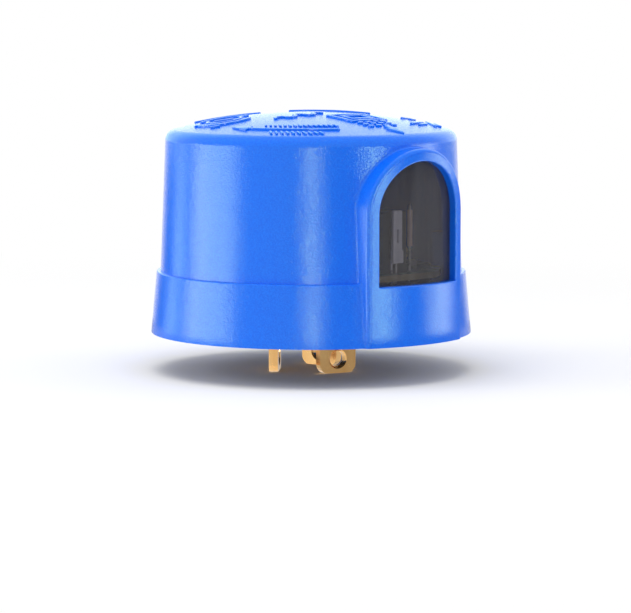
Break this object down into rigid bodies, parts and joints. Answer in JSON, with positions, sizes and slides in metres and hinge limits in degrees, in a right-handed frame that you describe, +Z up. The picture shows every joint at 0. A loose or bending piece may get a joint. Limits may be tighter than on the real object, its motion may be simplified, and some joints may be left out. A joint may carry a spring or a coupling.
{
  "type": "photocell switch",
  "caption": "Round plug-in photocell switch: domed blue cover with flared skirt and arched smoked window, gasket and hooked brass blades below.",
  "frame": {"origin": "on the axis, on the plane where the gasket meets the socket", "axes": "+Z up through the dome, away from the socket; the window looks along -Y; the blades point along -Z"},
  "size_m": [0.084, 0.0849, 0.0677],
  "materials": {
    "cover_plastic": "fine spark-eroded grain, blue",
    "smoked_lens": "smoked clear plastic",
    "base_plastic": "moulded black plastic",
    "gasket_rubber": "soft black sealing rubber",
    "blade_brass": "stamped and barrelled",
    "screw_steel": "zinc plated",
    "board_laminate": "green mask over laminate",
    "solder": "bright solder",
    "relay_base_plastic": "black moulding",
    "relay_plastic": "black moulded case",
    "tinned_wire": "tinned copper",
    "sensor_epoxy": "dark clear resin",
    "mask_plastic": "pale grey moulding",
    "fuse_sleeve": "pale pink woven sleeve",
    "film_box": "yellow moulded box",
    "can_sleeve": "shrink sleeve on a can",
    "varistor_coat": "dipped blue coat",
    "resistor_coat": "tan lacquer with colour rings",
    "diode_epoxy": "black resin with a pale ring",
    "chip_epoxy": "black moulded resin"
  },
  "bodies": {
    "root": {"cover": "cover_plastic", "window_lens": "smoked_lens", "base_plate": "base_plastic", "seat_gasket": "gasket_rubber", "cover_screws": "screw_steel", "line_blade": "blade_brass", "load_blade": "blade_brass", "neutral_blade": "blade_brass", "circuit_board": "board_laminate", "board_screws": "screw_steel", "blade_solder": "solder", "relay_base": "relay_base_plastic", "relay_case": "relay_plastic", "relay_pins": "tinned_wire", "light_sensor": "sensor_epoxy", "sensor_leads": "tinned_wire", "sensor_mask": "mask_plastic", "fuse_link": "fuse_sleeve", "fuse_link_leads": "tinned_wire", "film_capacitor": "film_box", "film_capacitor_leads": "tinned_wire", "smoothing_capacitor": "can_sleeve", "smoothing_capacitor_leads": "tinned_wire", "varistor": "varistor_coat", "varistor_leads": "tinned_wire", "dropper_resistor": "resistor_coat", "dropper_leads": "tinned_wire", "signal_resistors": "resistor_coat", "resistor_leads": "tinned_wire", "rectifier_diodes": "diode_epoxy", "diode_leads": "tinned_wire", "transistor": "chip_epoxy", "transistor_leads": "tinned_wire", "timer_chip": "chip_epoxy", "chip_pins": "tinned_wire"}
  },
  "joints": []
}
